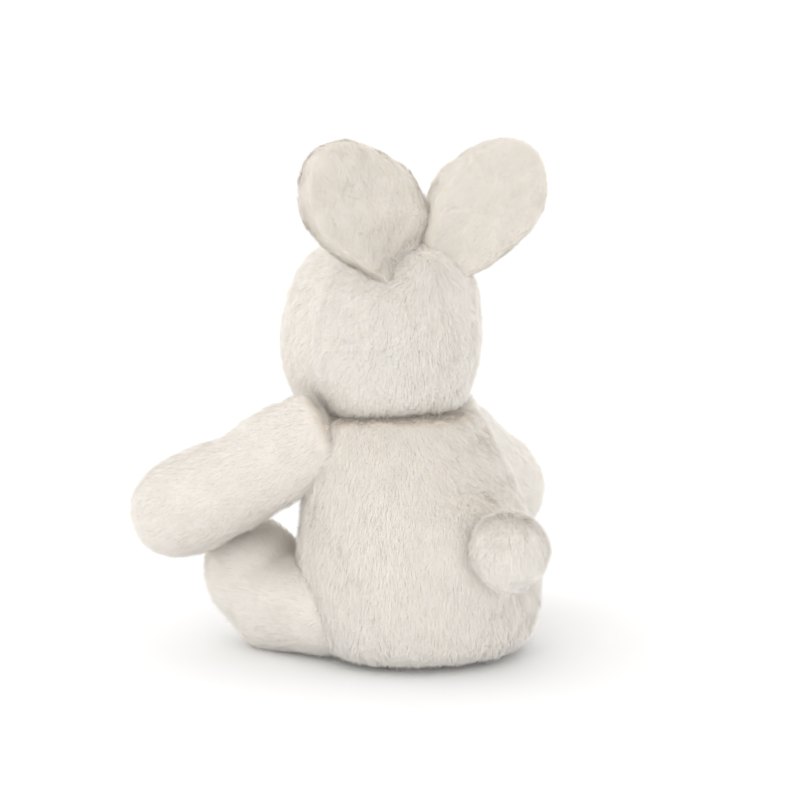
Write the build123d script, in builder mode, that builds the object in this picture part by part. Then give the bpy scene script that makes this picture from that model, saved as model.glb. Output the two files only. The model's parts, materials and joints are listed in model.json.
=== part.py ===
from build123d import *
import math
import os

# A seated plush rabbit, in millimetres.
# Origin: centre of the flat seat face. +Z up, the rabbit faces -Y, its own left is +X.
# Each fabric cover is a shell around its stuffing, and each limb turns on a round root
# that sits in a pocket of the piece it is sewn to.

os.makedirs("parts", exist_ok=True)

# ---- driving dimensions -------------------------------------------------------------
COVER = 3.0        # plush fabric with its pile pressed down
CLEAR = 0.6        # room round every moving root
SWEEP_ROOM = 1.6   # extra room where a limb sweeps past the torso
CAP_SHOULDER = math.sqrt(0.5)  # where a rounded end turns at 45 degrees

# Torso: height, half width, half depth and centre depth of each level section
TORSO_SECTIONS = (
    (0.0, 43.0, 41.0, 2.0),
    (12.0, 56.0, 54.0, 1.0),
    (32.0, 60.0, 57.0, 0.0),
    (56.0, 58.0, 55.0, -2.0),
    (78.0, 53.0, 50.0, -6.0),
    (94.0, 48.0, 44.0, -11.0),
    (103.0, 42.0, 38.0, -14.0),
    (107.0, 33.0, 31.0, -16.0),
)
SIDE_SEAM_Y = -12.0

# Pellet pouch low in the back of the torso
POUCH_CENTRE = (0.0, 16.0, 18.0)
POUCH_HALF = (28.0, 24.0, 12.0)
POUCH_CLOTH = 1.0

# Neck and head; each level section of the head as in the torso
NECK_PIVOT = (0.0, -20.0, 118.0)
NECK_BALL = 26.0
NECK_STEM = 24.5
NECK_FOOT_Z = 107.4
HEAD_SECTIONS = (
    (116.0, 24.0, 24.0, -21.0),
    (121.0, 34.5, 36.0, -30.5),
    (133.0, 45.5, 47.5, -33.5),
    (152.0, 49.5, 51.5, -33.5),
    (172.0, 47.0, 49.5, -31.5),
    (188.0, 41.0, 43.5, -30.5),
    (198.0, 32.0, 33.5, -30.0),
    (203.0, 20.0, 20.0, -28.0),
)
MUZZLE_CENTRE = (0.0, -78.0, 146.0)
MUZZLE_HALF = (21.0, 15.0, 16.0)
HEAD_SEAM_Y = -20.0

# Face
EYE_X = 25.0
EYE_Z = 166.0
EYE_RADIUS = 5.5
EYE_DOME = 3.6
SHANK_RADIUS = 1.6
SHANK_LENGTH = 9.0
WASHER_RADIUS = 6.5
WASHER_THICKNESS = 1.2
NOSE_HALF_WIDTH = 6.0
NOSE_HEIGHT = 7.5
THREAD_RADIUS = 0.7

# Ears; the outline runs outward along the base seam and up the ear
EAR_PIVOT = (15.0, 6.0, 191.0)
EAR_LEAN = 40.0
EAR_OUTLINE = (
    (-13.0, 0.0),
    (-23.0, 10.0),
    (-31.0, 28.0),
    (-26.5, 54.0),
    (1.0, 75.0),
    (25.5, 57.0),
    (24.0, 28.0),
    (12.0, 0.0),
)
EAR_HINGE = (-11.0, 12.0)
EAR_SLOT = ((-15.0, -2.0), (-27.0, 13.0), (-27.0, 24.0), (28.5, 24.0), (15.0, -2.0))
EAR_SLOT_LEANS = (-40.0, -20.0, 0.0, 6.0, 12.0)
EAR_THICKNESS = 11.0
EAR_EDGE = 4.0
EAR_LINING_SHARE = 0.4

# Arms
SHOULDER = (46.0, -14.0, 108.0)
ARM_OUTWARD = {"left": 43.0, "right": 50.0}
ARM_DROOP = {"left": 26.5, "right": 33.0}
ARM_ROOT = 14.5
ARM_PROFILE = ((17.5, 22.0), (20.0, 48.0), (21.0, 86.0))
ARM_CAP = 18.0
ARM_TRAVEL = (0.0, 9.0, 18.0, 28.0)

# Legs
HIP = (46.0, -12.0, 24.0)
LEG_OUTWARD = 13.5
LEG_ROOT = 18.0
LEG_PROFILE = ((19.5, 20.0), (19.5, 44.0))
LEG_CAP = 12.0
# distance from the hip, half width, half height and centre height of each upright
# section of the foot, which rises toward its sole
FOOT_SECTIONS = (
    (30.0, 14.0, 19.0, 27.0),
    (40.0, 19.5, 25.5, 31.0),
    (52.0, 21.0, 26.0, 34.5),
    (63.0, 18.5, 22.0, 37.5),
    (70.0, 11.0, 13.5, 39.5),
)
SOLE_REACH = 61.0
LEG_TRAVEL = (-15.0, 4.0)

# Tail
TAIL_PIVOT = (0.0, 50.0, 59.0)
TAIL_TILT = 8.0
TAIL_ROOT = 8.0
TAIL_PROFILE = ((10.0, 8.0), (20.0, 19.0), (20.5, 25.0))
TAIL_CAP = 18.0
TAIL_TRAVEL = (-18.0, 0.0, 18.0)

REACH = 400.0      # longer than the whole toy

SIDES = {"left": 1, "right": -1}
pieces = {}


def save(name, part):
    """Labels a finished piece and keeps it for export."""
    part.label = name
    pieces[name] = part


def ellipsoid(centre, half, inset=0.0):
    """A solid ellipsoid, drawn in by inset on every side."""
    with BuildPart() as form:
        Sphere(radius=1.0)
        scale(by=tuple(size - inset for size in half))
    return form.part.moved(Location(centre))


def stacked_form(sections, inset=0.0):
    """A smooth form through level oval sections, drawn in by inset."""
    last = len(sections) - 1
    with BuildPart() as form:
        for i, (z, half_x, half_y, centre_y) in enumerate(sections):
            level = z + inset if i == 0 else z - inset if i == last else z
            with BuildSketch(Plane((0, centre_y, level))):
                Ellipse(half_x - inset, half_y - inset)
        loft()
    return form.part


def limb_form(pivot, along, root, profile, cap, inset=0.0):
    """A round limb about its own axis: a ball root at the pivot, a side that follows
    (radius, distance) points, and a rounded end."""
    axis = Vector(*along).normalized()
    radial = Vector(0, 0, 1).cross(axis).normalized()
    face_plane = Plane(origin=pivot, x_dir=radial, z_dir=radial.cross(axis))
    end_radius, end_distance = profile[-1]
    side_points = [(root - inset, 0)]
    side_points += [(radius - inset, distance) for radius, distance in profile]
    side_points.append(
        (CAP_SHOULDER * (end_radius - inset), end_distance + CAP_SHOULDER * (cap - inset))
    )
    tip = (0, end_distance + cap - inset)
    side_points.append(tip)
    with BuildPart() as form:
        with BuildSketch(face_plane):
            with BuildLine():
                CenterArc((0, 0), root - inset, -90, 90)
                Spline(*side_points, tangents=((0, 1), (-1, 0)))
                Line(tip, (0, inset - root))
            make_face()
        revolve(axis=Axis(pivot, tuple(axis)))
    return form.part


def turned(part, pivot, axis, angle):
    """The part turned about an axis through the pivot."""
    return part.rotate(Axis(pivot, axis), angle)


def cut_from(whole, tools):
    """The whole less every tool."""
    with BuildPart() as result:
        add(whole)
        for tool in tools:
            add(tool, mode=Mode.SUBTRACT)
    return result.part


def kept_side(whole, plane, direction):
    """The part of the whole on one side of a plane: direction 1 keeps what its normal
    points to, and -1 keeps the rest."""
    with BuildPart() as block:
        with BuildSketch(plane):
            Rectangle(2 * REACH, 2 * REACH)
        extrude(amount=direction * REACH)
    with BuildPart() as result:
        add(whole)
        add(block.part, mode=Mode.INTERSECT)
    return result.part


def outward_direction(side, outward, droop=0.0):
    """A unit direction turned outward from straight ahead, and down by droop."""
    flat = math.cos(math.radians(droop))
    return (
        side * math.sin(math.radians(outward)) * flat,
        -math.cos(math.radians(outward)) * flat,
        -math.sin(math.radians(droop)),
    )


# ---- limb directions and hinge axes -------------------------------------------------
arm_along = {}
arm_pivot = {}
arm_axis = {}
leg_along = {}
leg_pivot = {}
leg_axis = {}
for name, side in SIDES.items():
    arm_along[name] = outward_direction(side, ARM_OUTWARD[name], ARM_DROOP[name])
    arm_pivot[name] = (side * SHOULDER[0], SHOULDER[1], SHOULDER[2])
    flat_arm = outward_direction(side, ARM_OUTWARD[name])
    # turning by a positive angle about this level axis raises the arm
    arm_axis[name] = (flat_arm[1], -flat_arm[0], 0.0)
    leg_along[name] = outward_direction(side, LEG_OUTWARD)
    leg_pivot[name] = (side * HIP[0], HIP[1], HIP[2])
    # turning by a positive angle about this upright axis spreads the leg outward
    leg_axis[name] = (0.0, 0.0, float(side))
tail_along = (0.0, math.cos(math.radians(TAIL_TILT)), math.sin(math.radians(TAIL_TILT)))


def arm_form(name, inset=0.0):
    """One arm, from its shoulder root to its blunt paw."""
    return limb_form(arm_pivot[name], arm_along[name], ARM_ROOT, ARM_PROFILE, ARM_CAP, inset)


def leg_form(name, inset=0.0):
    """One leg: a short thick tube along the floor that ends in an upright foot."""
    tube = limb_form(leg_pivot[name], leg_along[name], LEG_ROOT, LEG_PROFILE, LEG_CAP, inset)
    direction = leg_along[name]
    last = len(FOOT_SECTIONS) - 1
    with BuildPart() as foot:
        for i, (distance, half_width, half_height, centre_z) in enumerate(FOOT_SECTIONS):
            reach = distance + inset if i == 0 else distance - inset if i == last else distance
            centre = (
                leg_pivot[name][0] + reach * direction[0],
                leg_pivot[name][1] + reach * direction[1],
                centre_z,
            )
            with BuildSketch(Plane(origin=centre, x_dir=(0, 0, 1), z_dir=direction)):
                Ellipse(half_height - inset, half_width - inset)
        loft()
    with BuildPart() as form:
        add(tube)
        add(foot.part)
    return form.part


def tail_form(inset=0.0):
    """The round tail with its short root."""
    return limb_form(TAIL_PIVOT, tail_along, TAIL_ROOT, TAIL_PROFILE, TAIL_CAP, inset)


def leg_room(name, start, end, half_width, bottom, top):
    """The upright block of room that a stretch of the leg sweeps as it spreads."""
    with BuildPart() as room:
        with BuildSketch(Plane.XY.offset(bottom - SWEEP_ROOM)):
            for angle in LEG_TRAVEL:
                direction = outward_direction(SIDES[name], LEG_OUTWARD + angle)
                turn = math.degrees(math.atan2(direction[1], direction[0]))
                middle = (start + end) / 2
                place = (
                    leg_pivot[name][0] + middle * direction[0],
                    leg_pivot[name][1] + middle * direction[1],
                )
                with Locations(place):
                    Rectangle(end - start, 2 * (half_width + SWEEP_ROOM), rotation=turn)
            if start == 0.0:
                with Locations(leg_pivot[name][:2]):
                    Circle(half_width + SWEEP_ROOM)
            make_hull()
        extrude(amount=top - bottom + 2 * SWEEP_ROOM)
    return room.part


# ---- pockets that the moving roots need in the torso --------------------------------
leg_radius, leg_reach = LEG_PROFILE[-1]
foot_width = max(half_width for _, half_width, _, _ in FOOT_SECTIONS)
foot_bottom = min(centre_z - half_height for _, _, half_height, centre_z in FOOT_SECTIONS)
foot_top = max(centre_z + half_height for _, _, half_height, centre_z in FOOT_SECTIONS)
torso_pockets = []
for name in SIDES:
    for angle in ARM_TRAVEL:
        room = arm_form(name, -SWEEP_ROOM)
        torso_pockets.append(turned(room, arm_pivot[name], arm_axis[name], angle))
    torso_pockets.append(
        leg_room(name, 0.0, leg_reach, leg_radius, HIP[2] - leg_radius, HIP[2] + leg_radius)
    )
    torso_pockets.append(
        leg_room(name, FOOT_SECTIONS[0][0], FOOT_SECTIONS[-1][0], foot_width, foot_bottom, foot_top)
    )
for angle in TAIL_TRAVEL:
    torso_pockets.append(turned(tail_form(-SWEEP_ROOM), TAIL_PIVOT, (1, 0, 0), angle))

# ---- torso --------------------------------------------------------------------------
torso_outer = stacked_form(TORSO_SECTIONS)
torso_inner = stacked_form(TORSO_SECTIONS, COVER)
torso_cover = cut_from(torso_outer, [torso_inner] + torso_pockets)
side_seam = Plane((0, SIDE_SEAM_Y, 0), x_dir=(1, 0, 0), z_dir=(0, 1, 0))
back_seam = Plane((0, 0, 0), x_dir=(0, 1, 0), z_dir=(1, 0, 0))

with BuildPart() as torso_belly:
    add(kept_side(torso_cover, side_seam, -1))
save("torso_belly", torso_belly.part)

torso_back = kept_side(torso_cover, side_seam, 1)
with BuildPart() as torso_back_left:
    add(kept_side(torso_back, back_seam, 1))
save("torso_back_left", torso_back_left.part)

with BuildPart() as torso_back_right:
    add(kept_side(torso_back, back_seam, -1))
save("torso_back_right", torso_back_right.part)

pouch_outer = ellipsoid(POUCH_CENTRE, POUCH_HALF)
pouch_inner = ellipsoid(POUCH_CENTRE, POUCH_HALF, POUCH_CLOTH)

with BuildPart() as torso_stuffing:
    add(cut_from(torso_inner, torso_pockets + [pouch_outer]))
save("torso_stuffing", torso_stuffing.part)

with BuildPart() as pellet_pouch:
    add(cut_from(pouch_outer, [pouch_inner]))
save("pellet_pouch", pellet_pouch.part)

with BuildPart() as pellet_fill:
    add(pouch_inner)
save("pellet_fill", pellet_fill.part)

# ---- neck: a stem that stands on the torso and a ball that the head nods on ----------
stem_height = NECK_PIVOT[2] - NECK_FOOT_Z
stem_top = -math.sqrt(NECK_BALL**2 - NECK_STEM**2)
with BuildPart() as neck_core:
    with BuildSketch(Plane(origin=NECK_PIVOT, x_dir=(1, 0, 0), z_dir=(0, -1, 0))):
        with BuildLine():
            Line((0, -stem_height), (NECK_STEM, -stem_height))
            Line((NECK_STEM, -stem_height), (NECK_STEM, stem_top))
            start_angle = math.degrees(math.atan2(stem_top, NECK_STEM))
            CenterArc((0, 0), NECK_BALL, start_angle, 90 - start_angle)
            Line((0, NECK_BALL), (0, -stem_height))
        make_face()
    revolve(axis=Axis(NECK_PIVOT, (0, 0, 1)))
save("neck_core", neck_core.part)

# ---- ears ---------------------------------------------------------------------------
ear_plane = {}
head_slots = []
for name, side in SIDES.items():
    lean = math.radians(EAR_LEAN)
    # local x runs along the base seam, away from the middle of the head,
    # and local y runs up the ear
    seam = (side * math.cos(lean), 0, -math.sin(lean))
    up_ear = Vector(side * math.sin(lean), 0, math.cos(lean))
    pivot = (side * EAR_PIVOT[0], EAR_PIVOT[1], EAR_PIVOT[2])
    ear_plane[name] = Plane(origin=pivot, x_dir=seam, z_dir=Vector(*seam).cross(up_ear))
    hinge_length = EAR_HINGE[1] - EAR_HINGE[0]
    hinge_start = ear_plane[name].from_local_coords((EAR_HINGE[0], 0, 0))
    with BuildPart() as ear_hinge:
        with BuildSketch(Plane(origin=hinge_start, z_dir=seam)):
            Circle(EAR_THICKNESS / 2)
        extrude(amount=hinge_length)
    with BuildPart() as hinge_room:
        with BuildSketch(Plane(origin=hinge_start, z_dir=seam).offset(-CLEAR)):
            Circle(EAR_THICKNESS / 2 + CLEAR)
        extrude(amount=hinge_length + 2 * CLEAR)
    with BuildPart() as blade_room:
        with BuildSketch(ear_plane[name]):
            with BuildLine():
                Polyline(*EAR_SLOT, close=True)
            make_face()
        extrude(amount=EAR_THICKNESS / 2 + CLEAR, both=True)
    head_slots.append(hinge_room.part)
    # turning by a positive angle leans the ear toward the face
    for angle in EAR_SLOT_LEANS:
        head_slots.append(turned(blade_room.part, pivot, seam, side * angle))

    with BuildPart() as ear_form:
        with BuildSketch(ear_plane[name]):
            with BuildLine():
                Spline(*EAR_OUTLINE)
                Line(EAR_OUTLINE[-1], EAR_OUTLINE[0])
            make_face()
        extrude(amount=EAR_THICKNESS / 2, both=True)
        rims = [edge for edge in ear_form.edges() if edge.geom_type == GeomType.BSPLINE]
        fillet(rims, EAR_EDGE)
        add(ear_hinge.part)

    # the plane's normal points to the face on the left ear and to the back on the right
    lining_plane = ear_plane[name].offset(side * EAR_THICKNESS * (0.5 - EAR_LINING_SHARE))
    with BuildPart() as ear_fur:
        add(kept_side(ear_form.part, lining_plane, -side))
    save(f"ear_{name}_fur", ear_fur.part)
    with BuildPart() as ear_lining:
        add(kept_side(ear_form.part, lining_plane, side))
    save(f"ear_{name}_lining", ear_lining.part)

# ---- bare head, which the eyes are set on -------------------------------------------
head_front = stacked_form(HEAD_SECTIONS)

# ---- face: eyes on shanks with washers behind the fabric, nose pad and mouth ---------
face_tools = []
for name, side in SIDES.items():
    sight_line = Axis((side * EYE_X, -REACH, EYE_Z), (0, 1, 0))
    surface_points = head_front.find_intersection_points(sight_line)
    eye_point, outward = min(surface_points, key=lambda found: found[0].Y)
    eye_plane = Plane(origin=eye_point, z_dir=outward)
    side_plane = Plane(origin=eye_plane.origin, x_dir=eye_plane.x_dir, z_dir=-eye_plane.y_dir)
    with BuildPart() as eye:
        with BuildSketch(side_plane):
            with BuildLine():
                Line((0, -SHANK_LENGTH), (SHANK_RADIUS, -SHANK_LENGTH))
                Line((SHANK_RADIUS, -SHANK_LENGTH), (SHANK_RADIUS, -0.5))
                Line((SHANK_RADIUS, -0.5), (EYE_RADIUS, -0.5))
                Spline(
                    (EYE_RADIUS, -0.5),
                    (CAP_SHOULDER * EYE_RADIUS, CAP_SHOULDER * (EYE_DOME + 0.5) - 0.5),
                    (0, EYE_DOME),
                    tangents=((0, 1), (-1, 0)),
                )
                Line((0, EYE_DOME), (0, -SHANK_LENGTH))
            make_face()
        revolve(axis=Axis(eye_plane.origin, eye_plane.z_dir))
    save(f"eye_{name}", eye.part)
    with BuildPart() as eye_washer:
        with BuildSketch(eye_plane.offset(-COVER - 1.0)):
            Circle(WASHER_RADIUS)
            Circle(SHANK_RADIUS, mode=Mode.SUBTRACT)
        extrude(amount=-WASHER_THICKNESS)
    save(f"eye_washer_{name}", eye_washer.part)
    face_tools += [eye.part, eye_washer.part]

nose_y = MUZZLE_CENTRE[1] - MUZZLE_HALF[1]
nose_base = Plane(origin=(0, nose_y + 3.0, MUZZLE_CENTRE[2] + 4.0), x_dir=(1, 0, 0), z_dir=(0, -1, 0))
with BuildPart() as nose:
    with BuildSketch(nose_base):
        with BuildLine():
            Spline(
                (0, -0.55 * NOSE_HEIGHT),
                (NOSE_HALF_WIDTH, 0.25 * NOSE_HEIGHT),
                (0, 0.45 * NOSE_HEIGHT),
                (-NOSE_HALF_WIDTH, 0.25 * NOSE_HEIGHT),
                periodic=True,
            )
        make_face()
    extrude(amount=5.0)
    fillet(nose.edges().group_by(Axis.Y)[0], 1.2)
save("nose", nose.part)


def muzzle_point(x, z):
    """A point on the front of the muzzle."""
    share = (x / MUZZLE_HALF[0]) ** 2 + ((z - MUZZLE_CENTRE[2]) / MUZZLE_HALF[2]) ** 2
    return (x, MUZZLE_CENTRE[1] - MUZZLE_HALF[1] * math.sqrt(1 - share), z)


lip = muzzle_point(0, MUZZLE_CENTRE[2] - 5.0)
with BuildPart() as mouth_thread:
    with BuildLine() as philtrum:
        Line(muzzle_point(0, MUZZLE_CENTRE[2] - 0.8), lip)
    with BuildSketch(Plane(origin=philtrum.line @ 0, z_dir=philtrum.line % 0)):
        Circle(THREAD_RADIUS)
    sweep(path=philtrum.line)
    for side in (1, -1):
        with BuildLine() as cheek:
            ThreePointArc(
                lip,
                muzzle_point(side * 3.5, MUZZLE_CENTRE[2] - 8.0),
                muzzle_point(side * 8.0, MUZZLE_CENTRE[2] - 7.0),
            )
        with BuildSketch(Plane(origin=cheek.line @ 0, z_dir=cheek.line % 0)):
            Circle(THREAD_RADIUS)
        sweep(path=cheek.line)
mouth_thread.part = cut_from(mouth_thread.part, [nose.part])
save("mouth_thread", mouth_thread.part)
face_tools += [nose.part, mouth_thread.part]

# ---- head ---------------------------------------------------------------------------
with BuildPart() as head_outer:
    add(head_front)
    add(ellipsoid(MUZZLE_CENTRE, MUZZLE_HALF))
with BuildPart() as head_inner:
    add(stacked_form(HEAD_SECTIONS, COVER))
    add(ellipsoid(MUZZLE_CENTRE, MUZZLE_HALF, COVER))
with BuildPart() as neck_socket:
    Sphere(radius=NECK_BALL + CLEAR)
neck_socket_placed = neck_socket.part.moved(Location(NECK_PIVOT))
head_tools = [neck_socket_placed] + head_slots + face_tools
head_cover = cut_from(head_outer.part, [head_inner.part] + head_tools)
head_side_seam = Plane((0, HEAD_SEAM_Y, 0), x_dir=(1, 0, 0), z_dir=(0, 1, 0))

with BuildPart() as head_face:
    add(kept_side(head_cover, head_side_seam, -1))
save("head_face", head_face.part)

head_back = kept_side(head_cover, head_side_seam, 1)
with BuildPart() as head_back_left:
    add(kept_side(head_back, back_seam, 1))
save("head_back_left", head_back_left.part)

with BuildPart() as head_back_right:
    add(kept_side(head_back, back_seam, -1))
save("head_back_right", head_back_right.part)

with BuildPart() as head_stuffing:
    add(cut_from(head_inner.part, head_tools))
save("head_stuffing", head_stuffing.part)

# ---- arms, legs and tail ------------------------------------------------------------
for name in SIDES:
    with BuildPart() as arm_cover:
        add(cut_from(arm_form(name), [arm_form(name, COVER)]))
    save(f"arm_{name}_cover", arm_cover.part)
    with BuildPart() as arm_stuffing:
        add(arm_form(name, COVER))
    save(f"arm_{name}_stuffing", arm_stuffing.part)

    direction = leg_along[name]
    sole_origin = tuple(p + SOLE_REACH * d for p, d in zip(leg_pivot[name], direction))
    sole_plane = Plane(origin=sole_origin, z_dir=direction)
    leg_shell = cut_from(leg_form(name), [leg_form(name, COVER)])
    with BuildPart() as leg_cover:
        add(kept_side(leg_shell, sole_plane, -1))
    save(f"leg_{name}_cover", leg_cover.part)
    with BuildPart() as leg_sole:
        add(kept_side(leg_shell, sole_plane, 1))
    save(f"leg_{name}_sole", leg_sole.part)
    with BuildPart() as leg_stuffing:
        add(leg_form(name, COVER))
    save(f"leg_{name}_stuffing", leg_stuffing.part)

with BuildPart() as tail_cover:
    add(cut_from(tail_form(), [tail_form(COVER)]))
save("tail_cover", tail_cover.part)
with BuildPart() as tail_stuffing:
    add(tail_form(COVER))
save("tail_stuffing", tail_stuffing.part)

# ---- export -------------------------------------------------------------------------
for name, part in pieces.items():
    export_step(part, f"parts/{name}.step")
    print(name, len(part.solids()), round(part.volume))
for name in SIDES:
    print("arm", name, arm_pivot[name], arm_axis[name])
    print("leg", name, leg_pivot[name], leg_axis[name])
    print("ear", name, ear_plane[name].origin, ear_plane[name].x_dir)
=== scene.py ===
import json
import math

import bpy
import bmesh
import numpy as np
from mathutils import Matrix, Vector
from mathutils.kdtree import KDTree


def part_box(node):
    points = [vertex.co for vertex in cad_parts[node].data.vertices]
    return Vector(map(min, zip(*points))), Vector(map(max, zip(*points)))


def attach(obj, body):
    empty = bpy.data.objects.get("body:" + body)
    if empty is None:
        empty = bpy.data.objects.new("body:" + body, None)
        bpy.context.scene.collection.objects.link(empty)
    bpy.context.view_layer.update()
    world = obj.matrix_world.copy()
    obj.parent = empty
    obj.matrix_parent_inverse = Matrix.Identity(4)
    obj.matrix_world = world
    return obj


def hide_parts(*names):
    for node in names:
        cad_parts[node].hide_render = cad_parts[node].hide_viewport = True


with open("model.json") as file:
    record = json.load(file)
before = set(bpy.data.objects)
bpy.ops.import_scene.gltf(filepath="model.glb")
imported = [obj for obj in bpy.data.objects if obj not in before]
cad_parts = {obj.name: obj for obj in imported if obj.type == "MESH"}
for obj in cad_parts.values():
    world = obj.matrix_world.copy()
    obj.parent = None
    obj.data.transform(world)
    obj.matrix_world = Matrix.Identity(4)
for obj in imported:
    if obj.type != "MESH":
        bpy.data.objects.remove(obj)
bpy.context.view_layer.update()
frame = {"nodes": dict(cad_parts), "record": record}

# The rabbit's looks: each fabric cover is a soft skin grown from its CAD solids, and its
# pile is real strands of mesh, combed and clumped. Metres throughout, in the CAD frame.

MM = 0.001
NODES = frame["nodes"]
JOINTS = {j["child"]: j for j in frame["record"]["behaviour"]["joints"]}
SIDES = ("left", "right")

# ---- camera -------------------------------------------------------------------------
VIEW_AZIMUTH = math.radians(145.0)
VIEW_ELEVATION = math.radians(8.0)
LENS_MM = 100.0
FIELD_WIDTH = 0.400
TARGET_RIGHT = -0.009
TARGET_UP = 0.124


def place_camera():
    """A long lens that looks at the toy's back from its left."""
    back = Vector((
        math.sin(VIEW_AZIMUTH) * math.cos(VIEW_ELEVATION),
        -math.cos(VIEW_AZIMUTH) * math.cos(VIEW_ELEVATION),
        math.sin(VIEW_ELEVATION),
    ))
    right = Vector((math.cos(VIEW_AZIMUTH), math.sin(VIEW_AZIMUTH), 0.0))
    up = back.cross(right)
    camera_data = bpy.data.cameras.new("camera")
    camera_data.lens = LENS_MM
    distance = FIELD_WIDTH * LENS_MM / camera_data.sensor_width
    camera = bpy.data.objects.new("camera", camera_data)
    camera.location = TARGET_RIGHT * right + TARGET_UP * up + distance * back
    camera.rotation_euler = back.to_track_quat("Z", "Y").to_euler()
    bpy.context.collection.objects.link(camera)
    bpy.context.scene.camera = camera


place_camera()


# ---- materials ----------------------------------------------------------------------
def new_material(name, base, roughness=0.85, specular=0.2):
    """A Principled material of plain values, and its shader node."""
    material = bpy.data.materials.new(name)
    material.use_nodes = True
    shader = material.node_tree.nodes["Principled BSDF"]
    shader.inputs["Base Color"].default_value = (*base, 1.0)
    shader.inputs["Roughness"].default_value = roughness
    shader.inputs["Specular IOR Level"].default_value = specular
    return material, shader


PILE_SHEEN = 0.15


def pile_materials(name, *shades):
    """The strand colours of one kind of pile: a few close shades, so that tufts differ."""
    made = []
    for i, shade in enumerate(shades):
        material, shader = new_material(f"{name}_{i}", shade, roughness=0.9, specular=0.1)
        shader.inputs["Sheen Weight"].default_value = PILE_SHEEN
        shader.inputs["Sheen Roughness"].default_value = 0.5
        made.append(material)
    return made


NOISE_DETAIL = 6.0


def noise_mix(material, shader, light, dark, scale):
    """Mottles the base colour between two shades, and returns the coordinates used."""
    tree = material.node_tree
    coords = tree.nodes.new("ShaderNodeTexCoord")
    mottle = tree.nodes.new("ShaderNodeTexNoise")
    mottle.inputs["Scale"].default_value = scale
    mottle.inputs["Detail"].default_value = NOISE_DETAIL
    ramp = tree.nodes.new("ShaderNodeMix")
    ramp.data_type = "RGBA"
    ramp.inputs[6].default_value = (*dark, 1.0)
    ramp.inputs[7].default_value = (*light, 1.0)
    tree.links.new(coords.outputs["Object"], mottle.inputs["Vector"])
    tree.links.new(mottle.outputs["Fac"], ramp.inputs[0])
    tree.links.new(ramp.outputs[2], shader.inputs["Base Color"])
    return coords


def bumped(material, shader, height, strength, distance):
    """Turns a height output into the shader's bump."""
    tree = material.node_tree
    bump = tree.nodes.new("ShaderNodeBump")
    bump.inputs["Strength"].default_value = strength
    bump.inputs["Distance"].default_value = distance
    tree.links.new(height, bump.inputs["Height"])
    tree.links.new(bump.outputs["Normal"], shader.inputs["Normal"])


def backing_material(name, light, dark):
    """Knitted backing seen between the strands: mottled colour and a fine knit bump."""
    material, shader = new_material(name, light, roughness=0.95)
    coords = noise_mix(material, shader, light, dark, scale=60.0)
    knit = material.node_tree.nodes.new("ShaderNodeTexVoronoi")
    knit.inputs["Scale"].default_value = 900.0
    material.node_tree.links.new(coords.outputs["Object"], knit.inputs["Vector"])
    bumped(material, shader, knit.outputs["Distance"], strength=0.3, distance=0.3 * MM)
    return material


def thread_material(name, light, dark, ridge_scale, direction):
    """Close-laid shiny thread: fine ridges across one direction."""
    material, shader = new_material(name, light, roughness=0.55, specular=0.35)
    coords = noise_mix(material, shader, light, dark, scale=350.0)
    ridges = material.node_tree.nodes.new("ShaderNodeTexWave")
    ridges.bands_direction = direction
    ridges.inputs["Scale"].default_value = ridge_scale
    ridges.inputs["Distortion"].default_value = 1.5
    material.node_tree.links.new(coords.outputs["Object"], ridges.inputs["Vector"])
    bumped(material, shader, ridges.outputs["Fac"], strength=0.6, distance=0.25 * MM)
    return material


def eye_material():
    """Dark brown polished plastic with faint clouding under a clear coat."""
    light, dark = (0.030, 0.017, 0.010), (0.012, 0.008, 0.006)
    material, shader = new_material("eye_gloss", (0.02, 0.012, 0.008), roughness=0.12,
                                    specular=0.5)
    noise_mix(material, shader, light, dark, scale=220.0)
    shader.inputs["Coat Weight"].default_value = 0.8
    shader.inputs["Coat Roughness"].default_value = 0.04
    return material


CREAM = pile_materials(
    "cream_pile", (0.967, 0.929, 0.872), (0.974, 0.940, 0.892), (0.948, 0.897, 0.826)
)
# Painted shade: the ears' pile colours are darker than the body's cream so that the ears, whose
# flat faces catch more of the lamps, come out dimmer.
EAR_SHADED_CREAM = pile_materials(
    "ear_shaded_pile", (0.930, 0.880, 0.808), (0.938, 0.893, 0.830), (0.912, 0.852, 0.768)
)
LINING = pile_materials(
    "lining_pile", (0.962, 0.918, 0.868), (0.970, 0.930, 0.888), (0.953, 0.903, 0.845)
)
BACKING = backing_material("cream_backing", (0.93, 0.86, 0.77), (0.88, 0.79, 0.68))


# ---- fields -------------------------------------------------------------------------
def unit(vectors):
    """The vectors, each made one long."""
    return vectors / np.maximum(np.linalg.norm(vectors, axis=1, keepdims=True), 1e-12)


RIPPLE_WAVES = 12
RIPPLE_SPREAD = (0.7, 1.4)


def ripple(points, wavelength, seed):
    """A smooth random field, about -1 to 1, that changes over the given wavelength."""
    rng = np.random.default_rng(seed)
    headings = unit(rng.normal(size=(RIPPLE_WAVES, 3)))
    numbers = 2 * math.pi / wavelength * rng.uniform(*RIPPLE_SPREAD, RIPPLE_WAVES)
    phases = rng.uniform(0, 2 * math.pi, RIPPLE_WAVES)
    total = np.zeros(len(points))
    for heading, number, phase in zip(headings, numbers, phases):
        total += np.sin(points @ heading * number + phase)
    return total / math.sqrt(RIPPLE_WAVES)


def near_line(points, line, width):
    """1 on a line of points, falling smoothly to 0 over the width."""
    closest = np.full(len(points), np.inf)
    for start, end in zip(line[:-1], line[1:]):
        along = end - start
        share = np.clip((points - start) @ along / (along @ along), 0, 1)[:, None]
        closest = np.minimum(closest, np.linalg.norm(points - start - share * along, axis=1))
    return np.exp(-((closest / width) ** 2))


# ---- skins --------------------------------------------------------------------------
def joint_at(body):
    """Where a body's joint is."""
    return np.array(JOINTS[body]["pos_m"])


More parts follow.
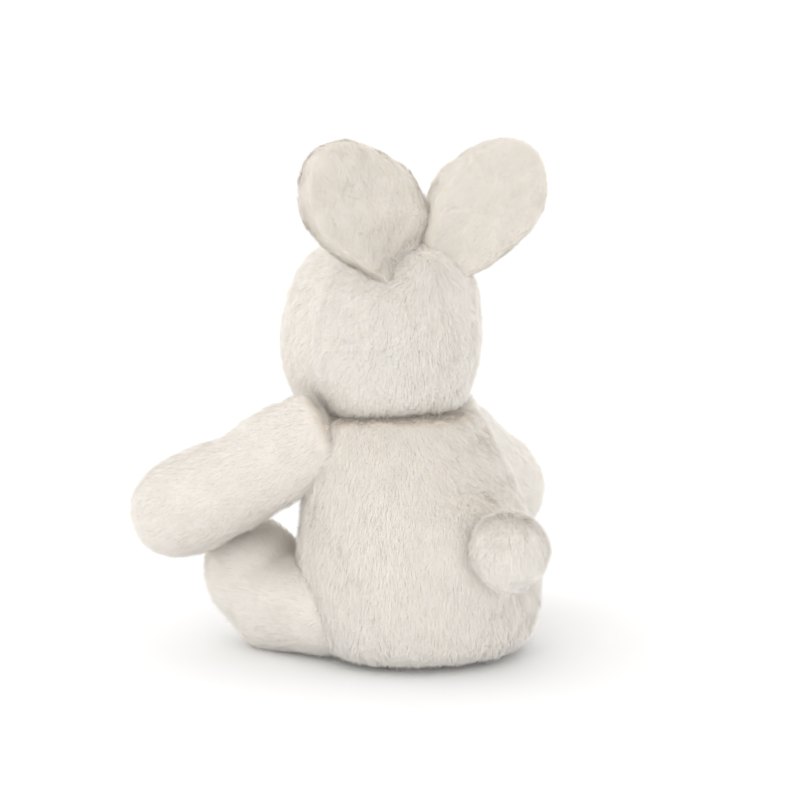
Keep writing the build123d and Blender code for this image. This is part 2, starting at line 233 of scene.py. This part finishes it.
def coordinates(mesh):
    """The mesh's vertices as an array of points."""
    points = np.empty(len(mesh.vertices) * 3)
    mesh.vertices.foreach_get("co", points)
    return points.reshape(-1, 3)


def node_points(nodes):
    """The vertices of CAD nodes."""
    return np.concatenate([coordinates(NODES[node].data) for node in nodes])


def new_object(name, mesh):
    """An object in the scene that shows the mesh."""
    piece = bpy.data.objects.new(name, mesh)
    bpy.context.collection.objects.link(piece)
    return piece


def modified(piece, setup):
    """Applies the modifiers that setup adds."""
    setup(piece)
    graph = bpy.context.evaluated_depsgraph_get()
    mesh = bpy.data.meshes.new_from_object(piece.evaluated_get(graph))
    piece.modifiers.clear()
    piece.data = mesh
    return piece


SMOOTH_FACTOR = 0.5


def add_smooth(target, steps):
    """Adds a smoothing modifier."""
    smooth = target.modifiers.new("smooth", "SMOOTH")
    smooth.factor = SMOOTH_FACTOR
    smooth.iterations = steps


def smoothed(piece, steps):
    """Rounds off the edges that shaping leaves."""
    return modified(piece, lambda target: add_smooth(target, steps))


def remeshed(piece, voxel, smooth_steps):
    """One closed even mesh of the piece's outer shape."""

    def setup(target):
        remesh = target.modifiers.new("remesh", "REMESH")
        remesh.mode = "VOXEL"
        remesh.voxel_size = voxel
        add_smooth(target, smooth_steps)

    return modified(piece, setup)


# A hull needs only some of the vertices.
HULL_STEP = 2


def skin_from(name, nodes, hull=False, extra=(), voxel=2.5 * MM, smooth_steps=12):
    """A closed soft skin round CAD nodes, or round the hull of them and of extra points
    where pockets must close."""
    mesh = bpy.data.meshes.new(name)
    builder = bmesh.new()
    if hull:
        for point in [*node_points(nodes)[::HULL_STEP], *extra]:
            builder.verts.new(point)
        bmesh.ops.convex_hull(builder, input=builder.verts)
        loose = [v for v in builder.verts if not v.link_faces]
        bmesh.ops.delete(builder, geom=loose, context="VERTS")
    else:
        for node in nodes:
            builder.from_mesh(NODES[node].data)
    builder.to_mesh(mesh)
    builder.free()
    return remeshed(new_object(name, mesh), voxel, smooth_steps)


def vertex_normals(mesh):
    """The normals of the mesh's vertices."""
    normals = np.empty(len(mesh.vertices) * 3)
    mesh.vertex_normals.foreach_get("vector", normals)
    return normals.reshape(-1, 3)


def set_coordinates(mesh, points):
    """Moves the mesh's vertices to the points."""
    mesh.vertices.foreach_set("co", points.ravel())
    mesh.update()


FLOOR_ROOM = 0.4 * MM


def grow(piece, amount, flat=None):
    """Moves the skin along its normals by a length or a function of the points. flat
    names an axis along which nothing moves."""
    mesh = piece.data
    points = coordinates(mesh)
    normals = vertex_normals(mesh)
    step = amount(points) if callable(amount) else np.full(len(points), amount)
    moves = normals * step[:, None]
    if flat is not None:
        moves[:, flat] = 0.0
    points = points + moves
    points[:, 2] = np.maximum(points[:, 2], FLOOR_ROOM)
    set_coordinates(mesh, points)


LUMP_HEIGHT = 0.30 * MM
LUMP_WAVE = 34 * MM
RUFFLE_HEIGHT = 0.10 * MM
RUFFLE_WAVE = 12 * MM


def soft_surface(piece, seed):
    """Gentle unevenness of fibre filling and of ruffled pile."""
    grow(piece, lambda p: LUMP_HEIGHT * ripple(p, LUMP_WAVE, seed)
         + RUFFLE_HEIGHT * ripple(p, RUFFLE_WAVE, seed + 1))


# ---- pile ---------------------------------------------------------------------------
# One strand is a bent ribbon: a root edge, a bend edge and a tip.
STRAND_BEND = 0.55
STRAND_SHOULDER = 0.8
STRAND_VERTS = 5
ROOT_STEEPNESS = 0.12
ROOT_LEAN = 1.1
TIP_STEEPNESS = 0.75
TIP_LEAN = 1.15
TIP_LEAN_LOSS = 0.5
CLUMP_CURVE = 1.6
FEWEST_CLUMPS = 8
# How much strands differ: smooth changes over a wavelength, and scatter from one to the next.
SWIRL_WAVE = 16 * MM
TURN_SCATTER = 0.15
LIFT_WAVE = 10 * MM
LIFT_CHANGE = 0.06
LIFT_SCATTER = 0.10
LIFT_LIMITS = (0.12, 0.95)
GUARD_LIFT = 0.28
LENGTH_WAVE = 8 * MM
LENGTH_CHANGE = 0.06
LENGTH_SCATTER = 0.15
LENGTH_LIMITS = (0.5, 1.4)
PULL_RANGE = (0.3, 1.0)
SIDE_SCATTER = 0.10
WIDTH_RANGE = (0.75, 1.25)
SHADE_SHARES = (0.5, 0.3, 0.2)
STRAY_SHARE = 0.5
# Strands are lit mostly as the skin below them is.
SKIN_NORMAL = 0.88
STRAND_NORMAL = 0.12


def triangle_table(mesh):
    """Corner indices and areas of the mesh's triangles."""
    mesh.calc_loop_triangles()
    corners = np.empty(len(mesh.loop_triangles) * 3, dtype=np.int64)
    mesh.loop_triangles.foreach_get("vertices", corners)
    corners = corners.reshape(-1, 3)
    points = coordinates(mesh)
    a, b, c = (points[corners[:, i]] for i in range(3))
    areas = 0.5 * np.linalg.norm(np.cross(b - a, c - a), axis=1)
    return corners, areas, (a + b + c) / 3


def surface_samples(mesh, count, rng, keep=None):
    """Random points spread evenly over the mesh, their normals and the area covered."""
    corners, areas, middles = triangle_table(mesh)
    if keep is not None:
        areas = areas * keep(middles)
    points = coordinates(mesh)
    normals = vertex_normals(mesh)
    chosen = rng.choice(len(areas), size=count, p=areas / areas.sum())
    u, v = rng.random(count), rng.random(count)
    flip = u + v > 1
    u[flip], v[flip] = 1 - u[flip], 1 - v[flip]
    shares = np.stack([1 - u - v, u, v], axis=1)[:, :, None]
    picked = corners[chosen]
    roots = (points[picked] * shares).sum(axis=1)
    return roots, unit((normals[picked] * shares).sum(axis=1)), areas.sum()


def along_surface(directions, normals):
    """The part of each direction that lies in the surface."""
    flat = directions - normals * np.sum(directions * normals, axis=1, keepdims=True)
    return unit(flat)


def nearest_clump(roots, centres):
    """The number of the closest centre to each root."""
    tree = KDTree(len(centres))
    for i, centre in enumerate(centres):
        tree.insert(centre, i)
    tree.balance()
    return np.array([tree.find(root)[1] for root in roots])


def pile(name, skin, count, length, flow, materials, seed,
         rise=0.40, width=0.17 * MM, tuft=2.2 * MM, gather=0.28, swirl=0.20,
         guards=0.10, keep=None, trim=None):
    """Strands of pile on a skin. flow gives the comb direction at each point, rise is how
    far the strands stand up (0 flat, 1 upright), tuft is the size of the clumps, gather
    how firmly they close, swirl how far the comb wanders and guards the share of strands
    that stand higher. keep says where strands grow, and trim scales their length."""
    rng = np.random.default_rng(seed)
    roots, normals, area = surface_samples(skin.data, count, rng, keep)
    comb = along_surface(flow(roots), normals)
    across = np.cross(normals, comb)
    turn = swirl * ripple(roots, SWIRL_WAVE, seed + 1) + rng.normal(0.0, TURN_SCATTER, count)
    comb = unit(comb * np.cos(turn)[:, None] + across * np.sin(turn)[:, None])
    lift = rise + LIFT_CHANGE * ripple(roots, LIFT_WAVE, seed + 2)
    lift += rng.normal(0, LIFT_SCATTER, count)
    lift += GUARD_LIFT * (rng.random(count) < guards)
    lift = np.clip(lift, *LIFT_LIMITS)[:, None]
    start = unit(normals * (ROOT_STEEPNESS + lift) + comb * (1.0 - lift) * ROOT_LEAN)
    end = unit(normals * lift * TIP_STEEPNESS + comb * (TIP_LEAN - lift * TIP_LEAN_LOSS))
    reach = length * np.clip(rng.normal(1.0, LENGTH_SCATTER, count), *LENGTH_LIMITS)
    reach *= 1.0 + LENGTH_CHANGE * ripple(roots, LENGTH_WAVE, seed + 3)
    if trim is not None:
        reach = reach * trim(roots)
    reach = reach[:, None]

    clump_count = max(FEWEST_CLUMPS, int(area / tuft**2))
    picks = rng.choice(count, size=min(clump_count, count), replace=False)
    owner = nearest_clump(roots, roots[picks])
    tips = roots + (0.5 * start + 0.5 * end) * reach
    pull = (tips[picks][owner] - tips) * gather
    pull *= rng.uniform(*PULL_RANGE, count)[:, None]

    rows = []
    for share in (0.0, STRAND_BEND, 1.0):
        bent = start * share + (end - start) * 0.5 * share**2
        row = roots + bent * reach + pull * share**CLUMP_CURVE
        row[:, 2] = np.maximum(row[:, 2], FLOOR_ROOM * 0.5)
        rows.append(row)
    heading = unit(rows[-1] - rows[0])
    side = unit(np.cross(heading, normals) + rng.normal(0, SIDE_SCATTER, (count, 3)))
    half = 0.5 * width * rng.uniform(*WIDTH_RANGE, count)[:, None]
    bend_half = half * STRAND_SHOULDER
    verts = [rows[0] - side * half, rows[0] + side * half,
             rows[1] - side * bend_half, rows[1] + side * bend_half, rows[2]]
    points = np.stack(verts, axis=1).reshape(-1, 3)

    base = np.arange(count)[:, None] * STRAND_VERTS
    quads = base + [0, 1, 3, 2]
    tip_faces = base + [2, 3, 4]
    mesh = bpy.data.meshes.new(name)
    mesh.vertices.add(len(points))
    mesh.vertices.foreach_set("co", points.ravel())
    mesh.loops.add(quads.size + tip_faces.size)
    corners = np.concatenate([quads.ravel(), tip_faces.ravel()])
    mesh.loops.foreach_set("vertex_index", corners)
    mesh.polygons.add(2 * count)
    starts = np.concatenate([np.arange(count) * 4, quads.size + np.arange(count) * 3])
    mesh.polygons.foreach_set("loop_start", starts)
    shade = rng.choice(len(materials), size=len(picks), p=SHADE_SHARES)[owner]
    stray = rng.random(count) < STRAY_SHARE
    shade[stray] = rng.integers(0, len(materials), stray.sum())
    mesh.polygons.foreach_set("material_index", np.concatenate([shade, shade]))
    for material in materials:
        mesh.materials.append(material)
    mesh.update(calc_edges=True)
    mesh.validate()
    mesh.shade_smooth()
    soft = unit(normals * SKIN_NORMAL + heading * STRAND_NORMAL)
    per_vertex = np.repeat(soft, STRAND_VERTS, axis=0).astype(np.float32)
    mesh.normals_split_custom_set_from_vertices(per_vertex)
    return new_object(name, mesh)


def constant(direction):
    """A comb that is the same everywhere."""
    return lambda points: np.broadcast_to(np.array(direction, float), points.shape)


def finish_skin(piece, body, nodes, material):
    """Rides, replaces and dresses a skin."""
    piece.data.materials.clear()
    piece.data.materials.append(material)
    piece.data.shade_smooth()
    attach(piece, body)
    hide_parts(*nodes)


def finish_pile(piece, body):
    """Makes a pile ride with its body."""
    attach(piece, body)


DOWN = (0.0, 0.0, -1.0)
FORWARD_DOWN = (0.0, -0.65, -0.75)
PILE = 5.0 * MM
EAR_PILE = 4.0 * MM
SEAM_WIDTH = 1.3 * MM
SEAM_DEPTH = 0.4 * MM
CREASE_WIDTH = 3.0 * MM
CREASE_DEPTH = 0.9 * MM
TORSO_CREASE_DEPTH = CREASE_DEPTH * 0.6
SEAM_TRIM = 0.2

# ---- torso --------------------------------------------------------------------------
TORSO_NODES = ["torso_belly", "torso_back_left", "torso_back_right", "torso_stuffing"]
torso_seam_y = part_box("torso_back_left")[0][1]


def back_seam(points, seam_y):
    """1 on the centre back seam and on the side seams of a cover."""
    middle = np.exp(-((points[:, 0] / SEAM_WIDTH) ** 2)) * (points[:, 1] > seam_y)
    sides = np.exp(-(((points[:, 1] - seam_y) / SEAM_WIDTH) ** 2))
    return np.maximum(middle, sides)


def panels_at(seam_y, front):
    """Where each panel of a cover lies: two back panels and a front one."""
    return {
        "back_left": lambda p: (p[:, 1] > seam_y) & (p[:, 0] > 0),
        "back_right": lambda p: (p[:, 1] > seam_y) & (p[:, 0] <= 0),
        front: lambda p: p[:, 1] <= seam_y,
    }


def line_from(body, offsets):
    """A line of points set out in millimetres from a body's joint."""
    return joint_at(body) + np.array(offsets) * MM


TORSO_CREASE = line_from("tail", ((-20, 0, 3), (0, 6, 7), (22, 0, 9)))


def torso_hollows(points):
    """Depth of the seams and of the crease over the tail."""
    crease = TORSO_CREASE_DEPTH * near_line(points, TORSO_CREASE, CREASE_WIDTH)
    return SEAM_DEPTH * back_seam(points, torso_seam_y) + crease


BALL_POINTS = 81


def ball(centre, radius):
    """Points spread over a sphere, each a golden angle on from the last."""
    turns = np.arange(BALL_POINTS) * math.pi * (3 - math.sqrt(5))
    heights = np.linspace(-1, 1, BALL_POINTS)
    rims = np.sqrt(1 - heights**2)
    rounds = np.stack([rims * np.cos(turns), rims * np.sin(turns), heights], axis=1)
    return np.array(centre) + radius * rounds


SHOULDER_RADIUS = 12 * MM
SHOULDER_INWARD = 9 * MM
SHOULDER_DROP = 3 * MM
COLLAR_DROP = 3 * MM
COLLAR_DOME = 0.15
COLLAR_SMOOTHING = 14
TORSO_GROWTH = 0.8 * MM
TORSO_STRANDS = 62000
TORSO_RISE = 0.33
TORSO_GUARDS = 0.08
shoulders = []
for side in SIDES:
    x, y, z = joint_at(f"arm_{side}")
    inward = x - math.copysign(SHOULDER_INWARD, x)
    shoulders.extend(ball((inward, y, z - SHOULDER_DROP), SHOULDER_RADIUS))
torso = skin_from("torso_skin", TORSO_NODES + ["neck_core"], hull=True, extra=shoulders)
collar_height = joint_at("neck")[2] - COLLAR_DROP
points = coordinates(torso.data)
above = points[:, 2] > collar_height
points[above, 2] = collar_height + COLLAR_DOME * (points[above, 2] - collar_height)
set_coordinates(torso.data, points)
smoothed(torso, COLLAR_SMOOTHING)
grow(torso, TORSO_GROWTH)

TAIL_COLLAR = 8 * MM
TAIL_COLLAR_WIDTH = 23 * MM
# Shares of the tail's distance behind the middle: where the collar starts and how far it fades.
TAIL_COLLAR_START = 0.6
TAIL_COLLAR_FADE = 0.3
BOTTOM_LIFT = 4 * MM
BOTTOM_BAND = 14 * MM
BOTTOM_RADIUS = 42 * MM
tail_root = joint_at("tail")


def tail_collar(points):
    """The back's rise round the sewn foot of the tail."""
    away = np.linalg.norm((points - tail_root)[:, [0, 2]], axis=1)
    start = TAIL_COLLAR_START * tail_root[1]
    behind = np.clip((points[:, 1] - start) / (TAIL_COLLAR_FADE * tail_root[1]), 0, 1)
    return TAIL_COLLAR * np.exp(-((away / TAIL_COLLAR_WIDTH) ** 4)) * behind


def rounded_bottom(piece):
    """Lifts the rim of the seat off the floor."""
    points = coordinates(piece.data)
    low = np.clip(1 - points[:, 2] / BOTTOM_BAND, 0, 1)
    rim = np.clip(np.linalg.norm(points[:, :2], axis=1) / BOTTOM_RADIUS, 0, 1)
    points[:, 2] += BOTTOM_LIFT * low * rim**3
    set_coordinates(piece.data, points)


grow(torso, tail_collar)
rounded_bottom(torso)
soft_surface(torso, 101)
grow(torso, lambda p: -torso_hollows(p))
finish_skin(torso, "torso", TORSO_NODES[:3], BACKING)
for i, (panel, keep) in enumerate(panels_at(torso_seam_y, "belly").items()):
    fur = pile(f"torso_{panel}_pile", torso, TORSO_STRANDS, PILE, constant(DOWN), CREAM,
               11 + 7 * i, rise=TORSO_RISE, guards=TORSO_GUARDS, keep=keep,
               trim=lambda p: 1.0 - SEAM_TRIM * back_seam(p, torso_seam_y))
    finish_pile(fur, "torso")

# ---- neck ---------------------------------------------------------------------------
NECK_GROWTH = -0.8 * MM
neck = skin_from("neck_skin", ["neck_core"])
grow(neck, NECK_GROWTH)
finish_skin(neck, "neck", ["neck_core"], BACKING)

# ---- head ---------------------------------------------------------------------------
HEAD_NODES = ["head_face", "head_back_left", "head_back_right", "head_stuffing"]
head_seam_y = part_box("head_back_left")[0][1]
nose_low, nose_high = (np.array(corner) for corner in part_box("nose"))
mouth_low, mouth_high = (np.array(corner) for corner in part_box("mouth_thread"))
EYE_DEPTH = 1 * MM
eye_points = []
for side in SIDES:
    low, high = (np.array(corner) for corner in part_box(f"eye_{side}"))
    middle = (low + high) / 2
    eye_points.append(np.array([middle[0], low[1] + EYE_DEPTH, middle[2]]))
HEAD_CREASES = (
    line_from("head", ((40, 18, 32), (34, 26, 34), (22, 34, 33.5), (8, 40, 31))),
    line_from("head", ((47, 4, 40), (49.5, -2, 29), (46, -4, 15))),
)


def head_hollows(points):
    """Depth of the seams and creases of the head."""
    total = SEAM_DEPTH * back_seam(points, head_seam_y)
    for line in HEAD_CREASES:
        total = total + CREASE_DEPTH * near_line(points, line, CREASE_WIDTH)
    return total


EYE_BARE = 6 * MM
EYE_FADE = 9 * MM
NOSE_FADE = 7 * MM
MOUTH_FADE = 5 * MM
SHORTEST = 0.12


def face_trim(points):
    """Short pile round the eyes, the nose and the mouth."""
    reach = np.ones(len(points))
    for eye in eye_points:
        away = np.linalg.norm(points - eye, axis=1)
        reach = np.minimum(reach, np.clip((away - EYE_BARE) / EYE_FADE, SHORTEST, 1.0))
    for low, high, room in ((nose_low, nose_high, NOSE_FADE), (mouth_low, mouth_high, MOUTH_FADE)):
        outside = np.maximum(np.maximum(low - points, points - high), 0)
        away = np.linalg.norm(outside, axis=1)
        reach = np.minimum(reach, np.clip(away / room, SHORTEST, 1.0))
    return reach


# The back panels' pile stands a little higher than the face's.
HEAD_GROWTH = -1.0 * MM
HEAD_STRANDS = (50000, 50000, 64000)
HEAD_RISES = (0.36, 0.36, 0.25)
HEAD_GUARDS = (0.08, 0.08, 0.03)
HEAD_SAG = 5.5 * MM
HEAD_SAG_BAND = 28 * MM
NECK_RIM = 20 * MM
NECK_RIM_START = 0.6
CROWN_RISE = 4.0 * MM
CROWN_WIDTH = 10 * MM
CROWN_HEIGHT = 8 * MM
CROWN_SHARE = 0.6
left_ear, right_ear = (joint_at(f"ear_{side}") for side in SIDES)
crown = [
    share * left_ear + (1 - share) * right_ear + (0.0, 0.0, CROWN_HEIGHT)
    for share in (CROWN_SHARE, 1 - CROWN_SHARE)
]

head = skin_from("head_skin", HEAD_NODES, hull=True)
grow(head, HEAD_GROWTH)
points = coordinates(head.data)
low = np.clip(1 - (points[:, 2] - points[:, 2].min()) / HEAD_SAG_BAND, 0, 1)
neck_centre = joint_at("head")
from_neck = np.linalg.norm(points[:, :2] - neck_centre[:2], axis=1)
points[:, 2] -= HEAD_SAG * low * np.clip(from_neck / NECK_RIM - NECK_RIM_START, 0, 1)
set_coordinates(head.data, points)
grow(head, lambda p: CROWN_RISE * near_line(p, crown, CROWN_WIDTH))
soft_surface(head, 131)
grow(head, lambda p: -head_hollows(p))
finish_skin(head, "head", HEAD_NODES[:3], BACKING)
for i, (panel, keep) in enumerate(panels_at(head_seam_y, "face").items()):
    fur = pile(f"head_{panel}_pile", head, HEAD_STRANDS[i], PILE,
               constant(FORWARD_DOWN), CREAM, 211 + 7 * i,
               rise=HEAD_RISES[i], guards=HEAD_GUARDS[i], keep=keep,
               trim=lambda p: face_trim(p) * (1.0 - SEAM_TRIM * back_seam(p, head_seam_y)))
    finish_pile(fur, "head")


def dress(node, material):
    """Gives a CAD node a better material."""
    data = NODES[node].data
    data.materials.clear()
    data.materials.append(material)


PINK = ((0.62, 0.36, 0.33), (0.50, 0.27, 0.25))
BROWN = ((0.42, 0.27, 0.24), (0.30, 0.18, 0.16))
for side in SIDES:
    dress(f"eye_{side}", eye_material())
dress("nose", thread_material("nose_satin", *PINK, 420.0, "X"))
dress("mouth_thread", thread_material("mouth_twist", *BROWN, 300.0, "DIAGONAL"))


# ---- arms and legs ------------------------------------------------------------------
def limb_frame(body, points):
    """The joint, the direction along the limb and the level direction across it."""
    joint = joint_at(body)
    along = points.mean(axis=0) - joint
    along = along / np.linalg.norm(along)
    level = np.cross(along, (0.0, 0.0, 1.0))
    level = level / np.linalg.norm(level)
    return joint, along, level, np.cross(level, along)


def flatten_root(piece, body, reach, taller, rise, thin_reach, thinner, aside):
    """Makes a limb tall and thin where it is sewn on, and tucks its end into the body.
    The limb is taller and raised within reach of the joint, and thinner and moved aside
    within thin_reach."""
    points = coordinates(piece.data)
    joint, along, level, upward = limb_frame(body, points)
    local = points - joint
    distance = local @ along

    def share_within(length):
        share = np.clip(1.0 - distance / length, 0.0, 1.0)
        return share * share * (3 - 2 * share)

    height = local @ upward
    across = local @ level
    moved = np.outer((height * (taller - 1.0) + rise) * share_within(reach), upward)
    moved += np.outer(across * (thinner - 1.0) * share_within(thin_reach), level)
    moved += np.outer(aside * share_within(thin_reach), level)
    moved += np.outer(np.maximum(-distance, 0.0) * ROOT_TUCK, along)
    set_coordinates(piece.data, points + moved)
    smoothed(piece, ROOT_SMOOTHING)


def sagged(piece):
    """Lets a leg settle onto the floor."""
    points = coordinates(piece.data)
    points[:, 2] -= LEG_SAG * np.clip(1 - points[:, 2] / LEG_SAG_BAND, 0, 1)
    points[:, 2] = np.maximum(points[:, 2], FLOOR_ROOM)
    set_coordinates(piece.data, points)


LIMB_GROWTH = 2.2 * MM
LIMB_RISE = 0.27
LIMB_GUARDS = 0.05
RIGHT_ARM_GROWTH = 0.4 * LIMB_GROWTH
ARM_STRANDS = 60000
LEG_STRANDS = 52000
SOLE_STRANDS = 9000
SOLE_PILE = 3.0 * MM
SOLE_EDGE = 1.5 * MM
ROOT_TUCK = 0.7
ROOT_SMOOTHING = 8
LEG_SAG = 3.0 * MM
LEG_SAG_BAND = 18 * MM
ARM_ROOTS = {
    "left": dict(reach=55 * MM, taller=1.28, rise=4 * MM, thin_reach=70 * MM, thinner=0.62,
                 aside=0.0),
    "right": dict(reach=55 * MM, taller=1.05, rise=0.0, thin_reach=100 * MM, thinner=0.45,
                  aside=-8 * MM),
}
for side in SIDES:
    body = f"arm_{side}"
    skin = skin_from(f"{body}_skin", [f"{body}_cover", f"{body}_stuffing"])
    grow(skin, LIMB_GROWTH if side == "left" else RIGHT_ARM_GROWTH)
    flatten_root(skin, body, **ARM_ROOTS[side])
    soft_surface(skin, 301)
    finish_skin(skin, body, [f"{body}_cover", f"{body}_stuffing"], BACKING)
    _, along, _, _ = limb_frame(body, coordinates(skin.data))
    fur = pile(f"{body}_pile", skin, ARM_STRANDS, PILE, constant(along), CREAM, 331,
               rise=LIMB_RISE, guards=LIMB_GUARDS)
    finish_pile(fur, body)

    body = f"leg_{side}"
    skin = skin_from(f"{body}_skin", [f"{body}_cover", f"{body}_sole", f"{body}_stuffing"])
    grow(skin, LIMB_GROWTH)
    sagged(skin)
    soft_surface(skin, 401)
    finish_skin(skin, body, [f"{body}_cover"], BACKING)
    joint, along, _, _ = limb_frame(body, coordinates(skin.data))
    along = unit(np.array([[along[0], along[1], 0.0]]))[0]
    sole_reach = (node_points([f"{body}_sole"]) - joint) @ along
    sole_start = sole_reach.min() + SOLE_EDGE
    fur = pile(f"{body}_pile", skin, LEG_STRANDS, PILE, constant(along), CREAM, 431,
               rise=LIMB_RISE, guards=LIMB_GUARDS,
               keep=lambda p: (p - joint) @ along <= sole_start)
    finish_pile(fur, body)
    fur = pile(f"{body}_sole_pile", skin, SOLE_STRANDS, SOLE_PILE, constant(DOWN), LINING, 461,
               keep=lambda p: (p - joint) @ along > sole_start)
    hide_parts(f"{body}_sole")
    finish_pile(fur, body)

# ---- ears ---------------------------------------------------------------------------
EAR_TRIM = 1.4 * MM
EAR_MEETING = 3.4 * MM
EAR_MEETING_BAND = 14 * MM
EAR_MEETING_START = 1.4
EAR_VOXEL = 1.6 * MM
EAR_SMOOTHING = 10
EAR_TUFT = 2.0 * MM
EAR_RISE = 0.24
EAR_GUARDS = 0.02
EAR_FUR_STRANDS = 46000
EAR_LINING_STRANDS = 34000
EAR_RIM_SHORTEST = 0.25
EAR_RIM = 1.6 * MM
EAR_RIM_FADE = 4.0 * MM
EAR_SINK = 10.0 * MM
EAR_SINK_BAND = 26 * MM
EAR_SINK_REACH = 28 * MM
EAR_SINK_START = 1.3


def ear_outline_change(points):
    """Trims the ear's outline, and widens it on the side where the two ears meet."""
    inner = np.clip(EAR_MEETING_START - np.abs(points[:, 0]) / EAR_MEETING_BAND, 0, 1)
    return EAR_MEETING * inner - EAR_TRIM * (1 - inner)


for side in SIDES:
    body = f"ear_{side}"
    joint = joint_at(body)
    seam_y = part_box(f"{body}_fur")[0][1]
    skin = skin_from(f"{body}_skin", [f"{body}_fur", f"{body}_lining"],
                     voxel=EAR_VOXEL, smooth_steps=EAR_SMOOTHING)
    grow(skin, ear_outline_change, flat=1)
    points = coordinates(skin.data)
    outward = unit((points.mean(axis=0) - joint)[None] * (1.0, 0.0, 1.0))[0]
    near = np.clip(1 - (points[:, 2] - joint[2]) / EAR_SINK_BAND, 0, 1)
    near *= np.clip(EAR_SINK_START - np.abs(points[:, 0]) / EAR_SINK_REACH, 0, 1)
    points[:, 1] -= EAR_SINK * near
    set_coordinates(skin.data, points)
    soft_surface(skin, 501)
    finish_skin(skin, body, [f"{body}_fur"], BACKING)
    fur = pile(f"{body}_fur_pile", skin, EAR_FUR_STRANDS, EAR_PILE, constant(outward), EAR_SHADED_CREAM,
               531, rise=EAR_RISE, guards=EAR_GUARDS, tuft=EAR_TUFT,
               keep=lambda p: p[:, 1] > seam_y - EAR_RIM)
    finish_pile(fur, body)
    fur = pile(f"{body}_lining_pile", skin, EAR_LINING_STRANDS, EAR_PILE, constant(outward), LINING,
               561, rise=EAR_RISE, guards=EAR_GUARDS, tuft=EAR_TUFT,
               keep=lambda p: p[:, 1] <= seam_y - EAR_RIM,
               trim=lambda p: np.clip((seam_y - p[:, 1]) / EAR_RIM_FADE, EAR_RIM_SHORTEST, 1.0))
    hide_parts(f"{body}_lining")
    finish_pile(fur, body)

# ---- tail ---------------------------------------------------------------------------
TAIL_GROWTH = -2.0 * MM
TAIL_STRANDS = 40000
tail = skin_from("tail_skin", ["tail_cover", "tail_stuffing"])
grow(tail, TAIL_GROWTH)
soft_surface(tail, 601)
finish_skin(tail, "tail", ["tail_cover"], BACKING)
fur = pile("tail_pile", tail, TAIL_STRANDS, PILE, constant(DOWN), CREAM, 631,
           rise=LIMB_RISE)
finish_pile(fur, "tail")


# ---- floor, backdrop and light ------------------------------------------------------
FLOOR_SIZE = 8.0
FLOOR_DROP = 0.5 * MM
WORLD_STRENGTH = 1.07
LIGHT_TARGET = Vector((0.0, 0.0, 0.12))


def white_stage():
    """A plain white floor just under the seat."""
    bpy.ops.mesh.primitive_plane_add(size=FLOOR_SIZE, location=(0, 0, -FLOOR_DROP))
    floor = bpy.context.object
    floor.name = "floor"
    material, _ = new_material("floor_white", (0.98, 0.98, 0.98), roughness=0.9)
    floor.data.materials.append(material)


def area_light(name, location, size, watts):
    """A white area light that points at the toy's middle."""
    light = bpy.data.lights.new(name, "AREA")
    light.size = size
    light.energy = watts
    lamp = bpy.data.objects.new(name, light)
    lamp.location = location
    aim = LIGHT_TARGET - Vector(location)
    lamp.rotation_euler = aim.to_track_quat("-Z", "Y").to_euler()
    bpy.context.collection.objects.link(lamp)


white_stage()
world = bpy.data.worlds.new("studio")
world.use_nodes = True
background = world.node_tree.nodes["Background"]
background.inputs["Color"].default_value = (1.0, 1.0, 1.0, 1.0)
background.inputs["Strength"].default_value = WORLD_STRENGTH
bpy.context.scene.world = world
area_light("key", (0.9, 1.0, 1.5), size=1.2, watts=0.5)
area_light("fill", (-1.2, 1.0, 0.5), size=1.4, watts=0.8)
area_light("front", (0.2, -1.4, 1.2), size=1.4, watts=2.5)
area_light("low", (0.5, 1.2, 0.12), size=1.0, watts=3.0)
area_light("low_left", (1.3, 0.3, 0.12), size=1.0, watts=2.6)
bpy.context.scene.view_settings.view_transform = "Standard"
